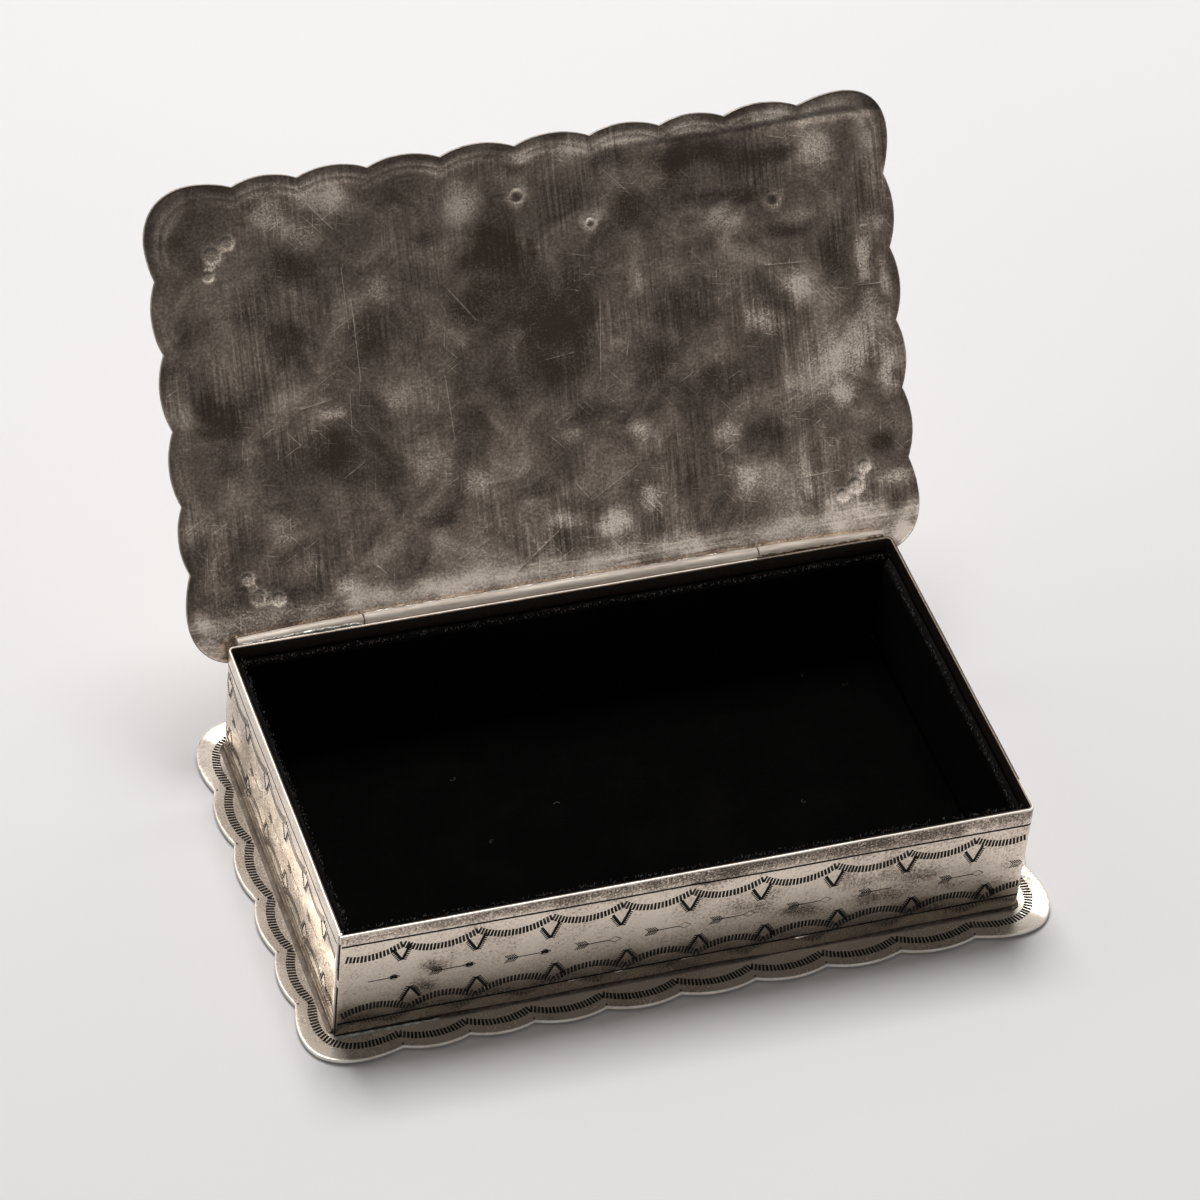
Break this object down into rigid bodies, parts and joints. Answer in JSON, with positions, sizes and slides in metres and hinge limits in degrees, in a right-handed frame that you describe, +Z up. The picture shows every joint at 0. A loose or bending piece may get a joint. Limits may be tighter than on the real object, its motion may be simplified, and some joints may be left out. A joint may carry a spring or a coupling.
{
  "type": "keepsake box",
  "caption": "Low rectangular silver box with scalloped base and hinged scalloped lid, lined with velvet, for jewellery and small keepsakes.",
  "frame": {"origin": "centre of the wall's plan at the base plate's flat underside, which is where the box stands", "axes": "+Z up, +X to the right along the front wall, +Y from the front wall to the hinged back wall"},
  "size_m": [0.1992, 0.1793, 0.1341],
  "materials": {
    "silver_plate": "satin",
    "silver_band": "satin",
    "silver_lid": "satin",
    "silver_hinge": "satin",
    "silver_pin": "satin",
    "black_velvet": "matte"
  },
  "bodies": {
    "box": {"base_plate": "silver_plate", "side_band": "silver_band", "hinge_knuckle_left": "silver_hinge", "hinge_knuckle_right": "silver_hinge", "hinge_pin": "silver_pin", "floor_lining": "black_velvet", "front_lining": "black_velvet", "back_lining": "black_velvet", "left_lining": "black_velvet", "right_lining": "black_velvet"},
    "lid": {"lid_plate": "silver_lid", "hinge_knuckle_centre": "silver_hinge"}
  },
  "joints": [
    {"name": "lid_hinge", "type": "hinge", "parent": "box", "child": "lid", "pos_m": [0, 0.0538, 0.0361], "axis": [1, 0, 0], "range_deg": [0, 122.69]}
  ]
}
